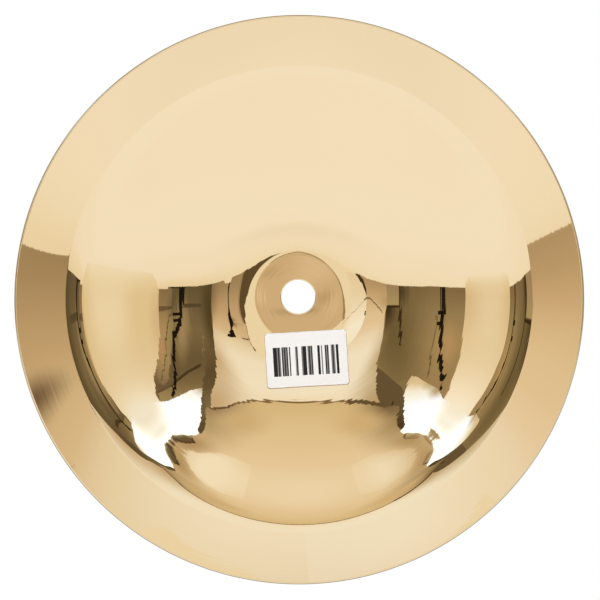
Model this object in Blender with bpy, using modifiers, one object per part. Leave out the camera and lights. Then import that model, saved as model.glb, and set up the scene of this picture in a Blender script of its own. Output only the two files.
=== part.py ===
"""Bell cymbal: one bowl of bronze with a narrow flange, and a paper label stuck inside it.

Metres, +Z up. The bowl stands mouth down on its rim, its axis is Z, and Z = 0 is where it rests.
Seen from below with +X to the right, the label lies under the hole, towards +Y.
"""

import math

import bmesh
import bpy
from mathutils import Matrix, Vector

# Cymbal, across
RIM_DIAMETER = 0.2032
HOLE_DIAMETER = 0.0125
HUB_DIAMETER = 0.0304
FLANGE_WIDTH = 0.0178
CROWN_WIDTH = 0.0206
SHOULDER_WIDTH = 0.0250
CREST_WIDTH = 0.0071
HUB_EDGE_WIDTH = 0.0016
MOUTH_BEND_WIDTH = 0.0054
MOUTH_LIP_WIDTH = 0.0024
MOUTH_CREASE_WIDTH = 0.0004

# Cymbal, how steeply the underside falls away from the hub at the end of each stretch
HUB_EDGE_SLOPE = math.radians(3.6)
CROWN_SLOPE = math.radians(25.0)
SHOULDER_SLOPE = math.radians(34.0)
CREST_SLOPE = math.radians(35.25)
WALL_SLOPE = math.radians(33.9)
MOUTH_BEND_SLOPE = math.radians(26.5)
MOUTH_LIP_SLOPE = math.radians(23.4)
MOUTH_CREASE_SLOPE = math.radians(16.2)
RIM_SLOPE = math.radians(15.1)

# Cymbal, metal
BOWL_THICKNESS = 0.0018
RIM_THICKNESS = 0.0013
HOLE_EDGE_RADIUS = 0.0004

# Paper label
LABEL_WIDTH = 0.0300
LABEL_HEIGHT = 0.0200
LABEL_THICKNESS = 0.0002
LABEL_CORNER_RADIUS = 0.0012
LABEL_FROM_AXIS = 0.0227
LABEL_ASIDE = 0.0031
LABEL_TILT = math.radians(3.3)
LABEL_GAP = 0.0003

# Fineness of the mesh
TURN_STEPS = 96
BEND_STEP = math.radians(3.2)
LONGEST_RUN = 0.0100
CREST_STEPS = 3
EDGE_SEGMENTS = 6
HOLE_EDGE_SEGMENTS = 2
LABEL_CELL = 0.0025
CORNER_SEGMENTS = 4
MERGE_DISTANCE = 0.00001

COLLECTION_NAME = "bell_cymbal"


class Station:
    """One point of the underside: its radius, its height under the hub and its downward slope."""

    def __init__(self, radius, height, slope):
        self.radius = radius
        self.height = height
        self.slope = slope

    def raised(self, distance):
        """Radius and height of the point this far above the underside, square to it."""
        return (
            self.radius + distance * math.sin(self.slope),
            self.height + distance * math.cos(self.slope),
        )


def start_fresh():
    """Remove every object and put a new collection in the scene."""
    for thing in list(bpy.data.objects):
        bpy.data.objects.remove(thing, do_unlink=True)
    parts = bpy.data.collections.new(COLLECTION_NAME)
    bpy.context.scene.collection.children.link(parts)
    return parts


def metal_or_paper(name, colour, metallic, roughness):
    """A Principled material."""
    material = bpy.data.materials.new(name)
    material.use_nodes = True
    shader = material.node_tree.nodes["Principled BSDF"]
    shader.inputs["Base Color"].default_value = (*colour, 1.0)
    shader.inputs["Metallic"].default_value = metallic
    shader.inputs["Roughness"].default_value = roughness
    material.diffuse_color = (*colour, 1.0)
    return material


def rim_edge_reach():
    """How far the rounded edge reaches beyond the end of the underside."""
    half = RIM_THICKNESS / 2
    return half + half * math.sin(RIM_SLOPE)


def crest(inner, top, outer):
    """End radii and slopes of short stretches over the steepest part of the wall.

    The three arguments are a radius and a slope each. The slope hardly changes near the top one,
    and from there it falls off slowly at first."""
    found = []
    for step in range(1, CREST_STEPS + 1):
        left = 1 - step / CREST_STEPS
        radius = top[0] + (inner[0] - top[0]) * left
        found.append((radius, top[1] + (inner[1] - top[1]) * left**2))
    for step in range(1, CREST_STEPS + 1):
        share = step / CREST_STEPS
        radius = top[0] + (outer[0] - top[0]) * share
        found.append((radius, top[1] + (outer[1] - top[1]) * share**3))
    return found


def stretches():
    """End radius and end slope of each stretch of the underside, from the hub outwards."""
    hub = HUB_DIAMETER / 2
    rim = RIM_DIAMETER / 2
    mouth = rim - FLANGE_WIDTH
    crease = mouth - MOUTH_CREASE_WIDTH
    crown = hub + HUB_EDGE_WIDTH
    shoulder = crown + CROWN_WIDTH
    wall = shoulder + SHOULDER_WIDTH
    lip = crease - MOUTH_LIP_WIDTH
    bend = lip - MOUTH_BEND_WIDTH
    steepest = (wall + CREST_WIDTH, CREST_SLOPE)
    return [
        (hub, 0.0),
        (crown, HUB_EDGE_SLOPE),
        (shoulder, CROWN_SLOPE),
        (wall, SHOULDER_SLOPE),
        *crest((wall, SHOULDER_SLOPE), steepest, (bend, WALL_SLOPE)),
        (lip, MOUTH_BEND_SLOPE),
        (crease, MOUTH_LIP_SLOPE),
        (mouth, MOUTH_CREASE_SLOPE),
        (rim - rim_edge_reach(), RIM_SLOPE),
    ]


def along(start, radius, slope):
    """Stations after start up to radius, on one arc that turns from the start's slope to slope."""
    width = radius - start.radius
    turn = slope - start.slope
    count = max(1, math.ceil(abs(turn) / BEND_STEP), math.ceil(width / LONGEST_RUN))
    middle = start.slope + turn / 2
    found = []
    for step in range(1, count + 1):
        angle = start.slope + turn * step / count
        half = (angle - start.slope) / 2
        # A chord of the arc leans by the mean of its end slopes, and its length goes as the
        # sine of half the turn between them. Without a turn it goes as the step.
        share = step / count
        if abs(turn) > 1e-6:
            across = math.sin(half) * math.cos(start.slope + half)
            whole = math.sin(turn / 2) * math.cos(middle)
            share = across / whole
        reached = share * width
        drop = reached * math.tan(start.slope + half)
        found.append(Station(start.radius + reached, start.height - drop, angle))
    return found


def underside(hole_radius):
    """Stations of the underside from the hole to the rim, with the hub's underside at height 0."""
    stations = [Station(hole_radius, 0.0, 0.0)]
    for radius, slope in stretches():
        stations.extend(along(stations[-1], radius, slope))
    return stations


def thickness_at(radius):
    """The metal is even over the bowl and thins along the flange."""
    rim = RIM_DIAMETER / 2
    mouth = rim - FLANGE_WIDTH
    share = min(1.0, max(0.0, (radius - mouth) / (rim - mouth)))
    return BOWL_THICKNESS + (RIM_THICKNESS - BOWL_THICKNESS) * share


def arc(centre, radius, first, last, segments):
    """Points on an arc of the profile, both ends left out."""
    points = []
    for step in range(1, segments):
        angle = first + (last - first) * step / segments
        points.append((centre[0] + radius * math.cos(angle), centre[1] + radius * math.sin(angle)))
    return points


def cymbal_profile():
    """Closed outline of the metal: out along the top, round the rim, back under and up the hole."""
    hole = HOLE_DIAMETER / 2
    soft = HOLE_EDGE_RADIUS
    under = underside(hole + soft)
    top = [station.raised(thickness_at(station.radius)) for station in under]
    beneath = [(station.radius, station.height) for station in under]

    last = under[-1]
    middle = last.raised(thickness_at(last.radius) / 2)
    edge_radius = thickness_at(last.radius) / 2
    square = math.pi / 2
    rim = arc(middle, edge_radius, square - last.slope, -square - last.slope, EDGE_SEGMENTS)

    lower = arc((hole + soft, soft), soft, -square, -2 * square, HOLE_EDGE_SEGMENTS)
    upper_centre = (hole + soft, BOWL_THICKNESS - soft)
    upper = arc(upper_centre, soft, 2 * square, square, HOLE_EDGE_SEGMENTS)
    wall = [(hole, soft), (hole, BOWL_THICKNESS - soft)]
    return top + rim + beneath[::-1] + lower + wall + upper


def hub_height():
    """Height of the hub's underside over the point where the rim rests."""
    last = underside(HOLE_DIAMETER / 2)[-1]
    edge_radius = thickness_at(last.radius) / 2
    return edge_radius - last.raised(edge_radius)[1]


def underside_at(radius):
    """Height and slope of the underside at a radius, with the hub's underside at height 0."""
    stations = underside(0.0)
    for inner, outer in zip(stations, stations[1:]):
        if radius <= outer.radius:
            share = (radius - inner.radius) / (outer.radius - inner.radius)
            height = inner.height + share * (outer.height - inner.height)
            return height, inner.slope + share * (outer.slope - inner.slope)
    return stations[-1].height, stations[-1].slope


def make_cymbal(parts, material):
    """The cymbal, turned from its profile about the upright axis."""
    mesh = bpy.data.meshes.new("cymbal")
    shape = bmesh.new()
    ring = [shape.verts.new((radius, 0.0, height)) for radius, height in cymbal_profile()]
    for one, other in zip(ring, ring[1:] + ring[:1]):
        shape.edges.new((one, other))
    shape.to_mesh(mesh)
    shape.free()

    cymbal = bpy.data.objects.new("cymbal", mesh)
    cymbal.data.materials.append(material)
    cymbal.location = (0.0, 0.0, hub_height())
    parts.objects.link(cymbal)

    turn = cymbal.modifiers.new("turned", "SCREW")
    turn.axis = "Z"
    turn.angle = math.tau
    turn.steps = TURN_STEPS
    turn.render_steps = TURN_STEPS
    turn.use_merge_vertices = True
    turn.merge_threshold = MERGE_DISTANCE
    turn.use_smooth_shade = True
    return cymbal


def label_sheet():
    """The label as a flat grid of square-ish cells with round corners, centred on the origin."""
    shape = bmesh.new()
    across = max(2, round(LABEL_WIDTH / LABEL_CELL))
    along_height = max(2, round(LABEL_HEIGHT / LABEL_CELL))
    bmesh.ops.create_grid(shape, x_segments=across, y_segments=along_height, size=0.5)
    bmesh.ops.scale(shape, vec=(LABEL_WIDTH, LABEL_HEIGHT, 1.0), verts=shape.verts)
    corners = [vert for vert in shape.verts if len(vert.link_edges) == 2]
    bmesh.ops.bevel(
        shape,
        geom=corners,
        offset=LABEL_CORNER_RADIUS,
        offset_type="OFFSET",
        segments=CORNER_SEGMENTS,
        profile=0.5,
        affect="VERTICES",
    )
    return shape


def make_label(parts, material):
    """The label, laid against the underside of the bowl with a small gap to the metal."""
    shape = label_sheet()
    tilt = Matrix.Rotation(-LABEL_TILT, 4, "Z")
    place = Matrix.Translation(Vector((LABEL_ASIDE, LABEL_FROM_AXIS, 0.0))) @ tilt
    bmesh.ops.transform(shape, matrix=place, verts=shape.verts)
    for vert in shape.verts:
        height, slope = underside_at(vert.co.to_2d().length)
        vert.co.z = height - LABEL_GAP / math.cos(slope)
    mesh = bpy.data.meshes.new("label")
    shape.to_mesh(mesh)
    shape.free()
    mesh.shade_smooth()

    label = bpy.data.objects.new("label", mesh)
    label.data.materials.append(material)
    label.location = (0.0, 0.0, hub_height())
    parts.objects.link(label)

    paper = label.modifiers.new("paper", "SOLIDIFY")
    paper.thickness = LABEL_THICKNESS
    paper.offset = -1.0
    return label


def main():
    parts = start_fresh()
    bronze = metal_or_paper("bronze", (0.87, 0.72, 0.47), 1.0, 0.06)
    paper = metal_or_paper("paper", (0.90, 0.90, 0.88), 0.0, 0.6)
    make_cymbal(parts, bronze)
    make_label(parts, paper)


main()
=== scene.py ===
"""The looks of the bell cymbal: polished bronze with lathe rings, a paper label and a photo studio.

Metres, +Z up. The mouth faces down and the camera looks up into it, with +X to its right.
"""

import math

import bpy
from mathutils import Matrix, Vector

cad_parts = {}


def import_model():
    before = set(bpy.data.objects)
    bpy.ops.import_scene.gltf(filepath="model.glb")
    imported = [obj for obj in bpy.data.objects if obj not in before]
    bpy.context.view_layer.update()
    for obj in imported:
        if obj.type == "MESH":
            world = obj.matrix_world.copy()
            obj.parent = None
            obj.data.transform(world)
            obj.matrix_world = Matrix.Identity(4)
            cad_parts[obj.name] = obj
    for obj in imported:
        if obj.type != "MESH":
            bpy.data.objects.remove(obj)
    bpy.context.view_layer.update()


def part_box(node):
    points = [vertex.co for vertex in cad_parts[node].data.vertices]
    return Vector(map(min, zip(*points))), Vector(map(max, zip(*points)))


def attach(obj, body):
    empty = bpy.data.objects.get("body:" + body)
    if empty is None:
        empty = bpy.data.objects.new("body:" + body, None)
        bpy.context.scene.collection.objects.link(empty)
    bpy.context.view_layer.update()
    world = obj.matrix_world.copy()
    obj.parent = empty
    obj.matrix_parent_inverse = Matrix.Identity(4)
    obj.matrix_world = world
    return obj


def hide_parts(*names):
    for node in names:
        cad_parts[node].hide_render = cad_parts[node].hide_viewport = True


# Underside of the cymbal: widths of its stretches from the hub outwards
HUB_RADIUS = 0.0152
HUB_EDGE_WIDTH = 0.0016
CROWN_WIDTH = 0.0206
SHOULDER_WIDTH = 0.0250
CREST_WIDTH = 0.0071
MOUTH_BEND_WIDTH = 0.0054
MOUTH_LIP_WIDTH = 0.0024
MOUTH_CREASE_WIDTH = 0.0004
FLANGE_WIDTH = 0.0178

# Its slope in degrees at the end of each stretch, and at the steepest place of the wall
HUB_EDGE_SLOPE = 3.6
CROWN_SLOPE = 25.0
SHOULDER_SLOPE = 34.0
CREST_SLOPE = 35.25
WALL_SLOPE = 33.9
MOUTH_BEND_SLOPE = 26.5
MOUTH_LIP_SLOPE = 23.4
MOUTH_CREASE_SLOPE = 16.2
RIM_SLOPE = 15.1

# Its metal
HOLE_RADIUS = 0.00625
HOLE_EDGE_RADIUS = 0.0004
BOWL_THICKNESS = 0.0018
RIM_THICKNESS = 0.0013

# Paper label
LABEL_WIDTH = 0.0300
LABEL_HEIGHT = 0.0200
LABEL_THICKNESS = 0.0002
LABEL_CORNER_RADIUS = 0.0012
LABEL_FROM_AXIS = 0.0227
LABEL_ASIDE = 0.0031
LABEL_TILT = math.radians(3.3)
LABEL_GAP = 0.0003

# Fineness of the meshes
TURN_STEPS = 288
BEND_STEP = math.radians(0.7)
LONGEST_RUN = 0.0015
CREST_STEPS = 8
EDGE_SEGMENTS = 14
HOLE_EDGE_SEGMENTS = 6
LABEL_CELLS = (60, 40)

# Camera: how far below the rim's plane it stands, and how far off the axis
CAMERA_DISTANCE = 1.2
CAMERA_UP_ANGLE = math.radians(2.12)
CAMERA_LEFT_ANGLE = math.radians(0.766)
RIM_RADIUS_PIXELS = 285.3
RIM_CENTRE_PIXELS = (299.6, 300.6)
FRAME_PIXELS = 600
SENSOR = 36.0

# Studio: cards stand this far from the cymbal, each layer a little nearer, small things closer
CARD_DISTANCE = 3.0
LAYER_STEP = 0.002
STAND_DISTANCE = 0.45
CABLE_DISTANCE = 0.30

RIM_CONTACT_INSET = 0.001

# The rim's round edge doesn't mirror the floor that it touches
FLOOR_NEAR = 0.03


class Station:
    """One point of the underside: its radius, its height under the hub and its downward slope."""

    def __init__(self, radius, height, slope):
        self.radius = radius
        self.height = height
        self.slope = slope

    def raised(self, distance):
        """Radius and height of the point this far above the underside, square to it."""
        return (
            self.radius + distance * math.sin(self.slope),
            self.height + distance * math.cos(self.slope),
        )


def along(start, radius, slope):
    """Stations after start up to radius, on one arc that turns from the start's slope to slope."""
    width = radius - start.radius
    turn = slope - start.slope
    count = max(1, math.ceil(abs(turn) / BEND_STEP), math.ceil(width / LONGEST_RUN))
    whole = math.sin(turn / 2) * math.cos(start.slope + turn / 2)
    found = []
    for step in range(1, count + 1):
        half = turn * step / count / 2
        share = step / count
        if abs(turn) > 1e-6:
            share = math.sin(half) * math.cos(start.slope + half) / whole
        drop = share * width * math.tan(start.slope + half)
        angle = start.slope + 2 * half
        found.append(Station(start.radius + share * width, start.height - drop, angle))
    return found


def crest(inner, top, outer):
    """End radii and slopes of short stretches over the steepest part of the wall.

    The three arguments are a radius and a slope each. The slope hardly changes near the top one,
    and from there it falls off slowly at first.
    """
    found = []
    for step in range(1, CREST_STEPS + 1):
        left = 1 - step / CREST_STEPS
        radius = top[0] + (inner[0] - top[0]) * left
        found.append((radius, top[1] + (inner[1] - top[1]) * left**2))
    for step in range(1, CREST_STEPS + 1):
        share = step / CREST_STEPS
        radius = top[0] + (outer[0] - top[0]) * share
        found.append((radius, top[1] + (outer[1] - top[1]) * share**3))
    return found


def stretches(rim_radius):
    """End radius and end slope of each stretch of the underside, from the hub outwards."""
    crown = HUB_RADIUS + HUB_EDGE_WIDTH
    shoulder = crown + CROWN_WIDTH
    wall = shoulder + SHOULDER_WIDTH
    mouth = rim_radius - FLANGE_WIDTH
    crease = mouth - MOUTH_CREASE_WIDTH
    lip = crease - MOUTH_LIP_WIDTH
    bend = lip - MOUTH_BEND_WIDTH
    edge = RIM_THICKNESS / 2 * (1 + math.sin(math.radians(RIM_SLOPE)))
    steepest = (wall + CREST_WIDTH, CREST_SLOPE)
    return [
        (HUB_RADIUS, 0.0),
        (crown, HUB_EDGE_SLOPE),
        (shoulder, CROWN_SLOPE),
        (wall, SHOULDER_SLOPE),
        *crest((wall, SHOULDER_SLOPE), steepest, (bend, WALL_SLOPE)),
        (lip, MOUTH_BEND_SLOPE),
        (crease, MOUTH_LIP_SLOPE),
        (mouth, MOUTH_CREASE_SLOPE),
        (rim_radius - edge, RIM_SLOPE),
    ]


def underside(first_radius, rim_radius):
    """Stations of the underside from a radius on the flat hub to the rim."""
    stations = [Station(first_radius, 0.0, 0.0)]
    for radius, slope in stretches(rim_radius):
        stations.extend(along(stations[-1], radius, math.radians(slope)))
    return stations


def thickness_at(radius, rim_radius):
    """The metal is even over the bowl and thins along the flange."""
    share = min(1.0, max(0.0, (radius - rim_radius + FLANGE_WIDTH) / FLANGE_WIDTH))
    return BOWL_THICKNESS + (RIM_THICKNESS - BOWL_THICKNESS) * share


def round_edge(centre, radius, first, last, segments):
    """Points on an arc of the profile with the way out of the metal, both ends included."""
    found = []
    for step in range(segments + 1):
        angle = first + (last - first) * step / segments
        out = (math.cos(angle), math.sin(angle))
        found.append(((centre[0] + radius * out[0], centre[1] + radius * out[1]), out))
    return found


def cymbal_outline(rim_radius):
    """Closed outline of the metal, each point with the way out of it.

    It goes out along the top, round the rim, back under the bowl and up the hole.
    """
    soft = HOLE_EDGE_RADIUS
    under = underside(HOLE_RADIUS + soft, rim_radius)
    thinning = math.atan((BOWL_THICKNESS - RIM_THICKNESS) / FLANGE_WIDTH)
    top, beneath = [], []
    for station in under[:-1]:
        lean = station.slope
        if station.radius > rim_radius - FLANGE_WIDTH:
            lean += thinning
        point = station.raised(thickness_at(station.radius, rim_radius))
        top.append((point, (math.sin(lean), math.cos(lean))))
        out = (-math.sin(station.slope), -math.cos(station.slope))
        beneath.append(((station.radius, station.height), out))
    last = under[-1]
    half = thickness_at(last.radius, rim_radius) / 2
    square = math.pi / 2
    rim = round_edge(last.raised(half), half, square - last.slope, -square - last.slope, EDGE_SEGMENTS)
    low_centre = (HOLE_RADIUS + soft, soft)
    high_centre = (HOLE_RADIUS + soft, BOWL_THICKNESS - soft)
    lower = round_edge(low_centre, soft, -square, -2 * square, HOLE_EDGE_SEGMENTS)
    upper = round_edge(high_centre, soft, 2 * square, square, HOLE_EDGE_SEGMENTS)
    return top[1:] + rim + beneath[:0:-1] + lower + upper


def link(thing):
    bpy.context.scene.collection.objects.link(thing)
    return thing


def make_cymbal(rim_radius, hub_top):
    """The fine bronze surface, turned from the same profile as the solid, with its true normals."""
    outline = cymbal_outline(rim_radius)
    lift = hub_top - BOWL_THICKNESS
    count = len(outline)
    points, normals, faces = [], [], []
    for step in range(TURN_STEPS):
        angle = math.tau * step / TURN_STEPS
        across, along_y = math.cos(angle), math.sin(angle)
        for (radius, height), (outward, upward) in outline:
            points.append((radius * across, radius * along_y, height + lift))
            normals.append((outward * across, outward * along_y, upward))
        here = step * count
        there = (step + 1) % TURN_STEPS * count
        for index in range(count):
            after = (index + 1) % count
            faces.append((here + index, here + after, there + after, there + index))
    mesh = bpy.data.meshes.new("bronze_cymbal")
    mesh.from_pydata(points, [], faces)
    mesh.shade_smooth()
    mesh.normals_split_custom_set_from_vertices(normals)
    return link(bpy.data.objects.new("bronze_cymbal", mesh))


def squircle(u, v):
    """Point of the label for u and v from -1 to 1, pulled in near the corners."""
    half_width, half_height = LABEL_WIDTH / 2, LABEL_HEIGHT / 2
    corner = LABEL_CORNER_RADIUS
    x, y = u * half_width, v * half_height
    past_x = abs(x) - (half_width - corner)
    past_y = abs(y) - (half_height - corner)
    if past_x > 0 and past_y > 0:
        reach = math.hypot(past_x, past_y)
        shrink = max(past_x, past_y) / reach
        x = math.copysign(half_width - corner + past_x * shrink, x)
        y = math.copysign(half_height - corner + past_y * shrink, y)
    return x, y


def make_label(stations, lift):
    """The paper label, laid against the underside with its small gap."""

    def lie(x, y):
        radius = math.hypot(x, y)
        for inner, outer in zip(stations, stations[1:]):
            if radius <= outer.radius:
                share = (radius - inner.radius) / (outer.radius - inner.radius)
                height = inner.height + share * (outer.height - inner.height)
                slope = inner.slope + share * (outer.slope - inner.slope)
                return lift + height - LABEL_GAP / math.cos(slope)
        return lift

    across, down = LABEL_CELLS
    turn = Matrix.Rotation(-LABEL_TILT, 2)
    points = []
    for row in range(down + 1):
        for column in range(across + 1):
            flat = turn @ Vector(squircle(2 * column / across - 1, 2 * row / down - 1))
            x, y = flat.x + LABEL_ASIDE, flat.y + LABEL_FROM_AXIS
            points.append((x, y, lie(x, y)))
    faces = []
    for row in range(down):
        for column in range(across):
            corner = row * (across + 1) + column
            faces.append((corner, corner + 1, corner + across + 2, corner + across + 1))
    mesh = bpy.data.meshes.new("paper_label")
    mesh.from_pydata(points, [], faces)
    place = mesh.uv_layers.new(name="sheet")
    for loop in mesh.loops:
        row, column = divmod(loop.vertex_index, across + 1)
        place.data[loop.index].uv = (column / across, row / down)
    mesh.shade_smooth()
    label = link(bpy.data.objects.new("paper_label", mesh))
    paper = label.modifiers.new("paper", "SOLIDIFY")
    paper.thickness = LABEL_THICKNESS
    paper.offset = -1.0
    return label


class Nodes:
    """A material's node tree with short ways to add and join nodes."""

    def __init__(self, name):
        self.material = bpy.data.materials.new(name)
        self.material.use_nodes = True
        self.tree = self.material.node_tree
        self.tree.nodes.clear()
        self.out = self.add("ShaderNodeOutputMaterial")

    def add(self, kind, **settings):
        node = self.tree.nodes.new(kind)
        for key, value in settings.items():
            setattr(node, key, value)
        return node

    def join(self, source, target):
        self.tree.links.new(source, target)

    def math(self, operation, first, second=None):
        node = self.add("ShaderNodeMath", operation=operation)
        for socket, value in zip(node.inputs, (first, second)):
            if isinstance(value, bpy.types.NodeSocket):
                self.join(value, socket)
            elif value is not None:
                socket.default_value = value
        return node.outputs[0]


def bronze():
    """Brilliant bronze: a mirror with fine lathe rings, a faint unevenness and painted shade at the rim's outer
    edge.
    """
    nodes = Nodes("brilliant_bronze")
    shader = nodes.add("ShaderNodeBsdfPrincipled")
    shader.inputs["Metallic"].default_value = 1.0
    place = nodes.add("ShaderNodeTexCoord")
    split = nodes.add("ShaderNodeSeparateXYZ")
    nodes.join(place.outputs["Object"], split.inputs[0])
    x, y = split.outputs["X"], split.outputs["Y"]
    radius = nodes.math("SQRT", nodes.math("ADD", nodes.math("MULTIPLY", x, x), nodes.math("MULTIPLY", y, y)))

    rings = nodes.add("ShaderNodeTexNoise", noise_dimensions="1D")
    rings.inputs["Scale"].default_value = 1.0
    rings.inputs["Detail"].default_value = 1.0
    nodes.join(nodes.math("MULTIPLY", radius, 650.0), rings.inputs["W"])
    depth = nodes.add("ShaderNodeMapRange")
    depth.inputs["From Min"].default_value = 0.010
    depth.inputs["From Max"].default_value = 0.018
    depth.inputs["To Min"].default_value = 0.3
    nodes.join(radius, depth.inputs["Value"])
    wall = nodes.add("ShaderNodeMapRange")
    wall.inputs["From Min"].default_value = 0.059
    wall.inputs["From Max"].default_value = 0.065
    wall.inputs["To Max"].default_value = -0.7
    nodes.join(radius, wall.inputs["Value"])
    flange = nodes.add("ShaderNodeMapRange")
    flange.inputs["From Min"].default_value = 0.0835
    flange.inputs["From Max"].default_value = 0.0865
    flange.inputs["To Max"].default_value = 0.7
    nodes.join(radius, flange.inputs["Value"])
    fade = nodes.math("ADD", nodes.math("ADD", depth.outputs[0], wall.outputs[0]), flange.outputs[0])
    waves = nodes.add("ShaderNodeTexNoise")
    waves.inputs["Scale"].default_value = 35.0
    waves.inputs["Detail"].default_value = 0.0
    nodes.join(place.outputs["Object"], waves.inputs["Vector"])

    fine = nodes.add("ShaderNodeBump")
    fine.inputs["Strength"].default_value = 1.0
    fine.inputs["Distance"].default_value = 0.0000035
    nodes.join(nodes.math("MULTIPLY", rings.outputs[0], fade), fine.inputs["Height"])
    broad = nodes.add("ShaderNodeBump")
    broad.inputs["Strength"].default_value = 1.0
    broad.inputs["Distance"].default_value = 0.00008
    nodes.join(waves.outputs[0], broad.inputs["Height"])
    nodes.join(fine.outputs[0], broad.inputs["Normal"])
    nodes.join(broad.outputs[0], shader.inputs["Normal"])

    tone = nodes.add("ShaderNodeTexNoise")
    tone.inputs["Scale"].default_value = 9.0
    nodes.join(place.outputs["Object"], tone.inputs["Vector"])
    ramp = nodes.add("ShaderNodeValToRGB")
    ramp.color_ramp.elements[0].color = (0.865, 0.705, 0.455, 1.0)
    ramp.color_ramp.elements[1].color = (0.885, 0.735, 0.490, 1.0)
    nodes.join(tone.outputs[0], ramp.inputs[0])
    # Painted shade: the base colour turns dark brown in a thin band at the rim's outer edge, for its dark outline
    rim = nodes.add("ShaderNodeMapRange", interpolation_type="SMOOTHSTEP")
    rim.inputs["From Min"].default_value = 0.10105
    rim.inputs["From Max"].default_value = 0.10140
    nodes.join(radius, rim.inputs["Value"])
    edge = nodes.add("ShaderNodeMix", data_type="RGBA")
    nodes.join(rim.outputs[0], edge.inputs["Factor"])
    nodes.join(ramp.outputs[0], edge.inputs["A"])
    edge.inputs["B"].default_value = (0.46, 0.39, 0.26, 1.0)
    nodes.join(edge.outputs["Result"], shader.inputs["Base Color"])

    rub = nodes.add("ShaderNodeMapRange")
    rub.inputs["To Min"].default_value = 0.012
    rub.inputs["To Max"].default_value = 0.03
    nodes.join(tone.outputs[0], rub.inputs["Value"])
    nodes.join(rub.outputs[0], shader.inputs["Roughness"])
    nodes.join(shader.outputs[0], nodes.out.inputs["Surface"])
    return nodes.material


def label_paper():
    """White label paper with a faint fibre grain."""
    nodes = Nodes("label_paper")
    shader = nodes.add("ShaderNodeBsdfPrincipled")
    shader.inputs["Roughness"].default_value = 0.55
    shader.inputs["Specular IOR Level"].default_value = 0.2
    place = nodes.add("ShaderNodeTexCoord")
    fibre = nodes.add("ShaderNodeTexNoise")
    fibre.inputs["Scale"].default_value = 1800.0
    nodes.join(place.outputs["Object"], fibre.inputs["Vector"])
    ramp = nodes.add("ShaderNodeValToRGB")
    ramp.color_ramp.elements[0].color = (0.90, 0.91, 0.93, 1.0)
    ramp.color_ramp.elements[1].color = (0.96, 0.97, 0.99, 1.0)
    nodes.join(fibre.outputs[0], ramp.inputs[0])
    sheet = nodes.add("ShaderNodeUVMap", uv_map="sheet")
    split = nodes.add("ShaderNodeSeparateXYZ")
    nodes.join(sheet.outputs[0], split.inputs[0])
    across, down = split.outputs["X"], split.outputs["Y"]
    strip = nodes.math("FLOOR", nodes.math("MULTIPLY", across, 66.0))
    chance = nodes.add("ShaderNodeTexWhiteNoise", noise_dimensions="1D")
    nodes.join(strip, chance.inputs["W"])
    inked = nodes.math("ADD",
                       nodes.math("MULTIPLY", nodes.math("GREATER_THAN", chance.outputs["Value"], 0.36), 0.78),
                       nodes.math("MULTIPLY", nodes.math("GREATER_THAN", chance.outputs["Value"], 0.54), 0.22))
    for value, low, high in ((across, 0.09, 0.92), (down, 0.27, 0.80)):
        inked = nodes.math("MULTIPLY", inked, nodes.math("GREATER_THAN", value, low))
        inked = nodes.math("MULTIPLY", inked, nodes.math("LESS_THAN", value, high))
    print_mix = nodes.add("ShaderNodeMix", data_type="RGBA")
    nodes.join(inked, print_mix.inputs["Factor"])
    nodes.join(ramp.outputs[0], print_mix.inputs["A"])
    print_mix.inputs["B"].default_value = (0.015, 0.015, 0.016, 1.0)
    nodes.join(print_mix.outputs["Result"], shader.inputs["Base Color"])
    bump = nodes.add("ShaderNodeBump")
    bump.inputs["Strength"].default_value = 0.3
    bump.inputs["Distance"].default_value = 0.00002
    nodes.join(fibre.outputs[0], bump.inputs["Height"])
    nodes.join(bump.outputs[0], shader.inputs["Normal"])
    nodes.join(shader.outputs[0], nodes.out.inputs["Surface"])
    return nodes.material


def glow(name, shades, pools):
    """Light given off by a card: colours that change with height, with soft pools of others.

    The card's map holds the tangents of the angles off the axis, to the image's right and up.
    A shade is a height and a colour; a pool is a centre, a reach each way and a colour.
    """
    nodes = Nodes(name)
    light = nodes.add("ShaderNodeEmission")
    nodes.join(light.outputs[0], nodes.out.inputs["Surface"])
    if len(shades) == 1 and not pools:
        light.inputs["Color"].default_value = (*shades[0][1], 1.0)
        return nodes.material
    place = nodes.add("ShaderNodeUVMap", uv_map="card")
    split = nodes.add("ShaderNodeSeparateXYZ")
    nodes.join(place.outputs[0], split.inputs[0])
    low, high = shades[0][0], shades[-1][0]
    height = nodes.add("ShaderNodeMapRange")
    height.inputs["From Min"].default_value = low
    height.inputs["From Max"].default_value = high if high > low else low + 1
    nodes.join(split.outputs["Y"], height.inputs["Value"])
    ramp = nodes.add("ShaderNodeValToRGB")
    stops = ramp.color_ramp.elements
    while len(stops) < len(shades):
        stops.new(0.5)
    for stop, (at, colour) in zip(stops, shades):
        stop.position = (at - low) / (high - low) if high > low else 0.0
        stop.color = (*colour, 1.0)
    if len(shades) == 1:
        stops[1].color = (*shades[0][1], 1.0)
    nodes.join(height.outputs[0], ramp.inputs[0])
    colour = ramp.outputs[0]
    for centre, reach, tint in pools:
        scaled = nodes.add("ShaderNodeMapping")
        scaled.inputs["Location"].default_value = (-centre[0] / reach[0], -centre[1] / reach[1], 0.0)
        scaled.inputs["Scale"].default_value = (1 / reach[0], 1 / reach[1], 1.0)
        nodes.join(place.outputs[0], scaled.inputs["Vector"])
        away = nodes.add("ShaderNodeVectorMath", operation="LENGTH")
        nodes.join(scaled.outputs[0], away.inputs[0])
        fade = nodes.add("ShaderNodeMapRange", interpolation_type="SMOOTHSTEP")
        fade.inputs["From Min"].default_value = 1.0
        fade.inputs["From Max"].default_value = 0.0
        nodes.join(away.outputs["Value"], fade.inputs["Value"])
        mix = nodes.add("ShaderNodeMix", data_type="RGBA")
        nodes.join(fade.outputs[0], mix.inputs["Factor"])
        nodes.join(colour, mix.inputs["A"])
        mix.inputs["B"].default_value = (*tint, 1.0)
        colour = mix.outputs["Result"]
    nodes.join(colour, light.inputs["Color"])
    return nodes.material


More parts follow.
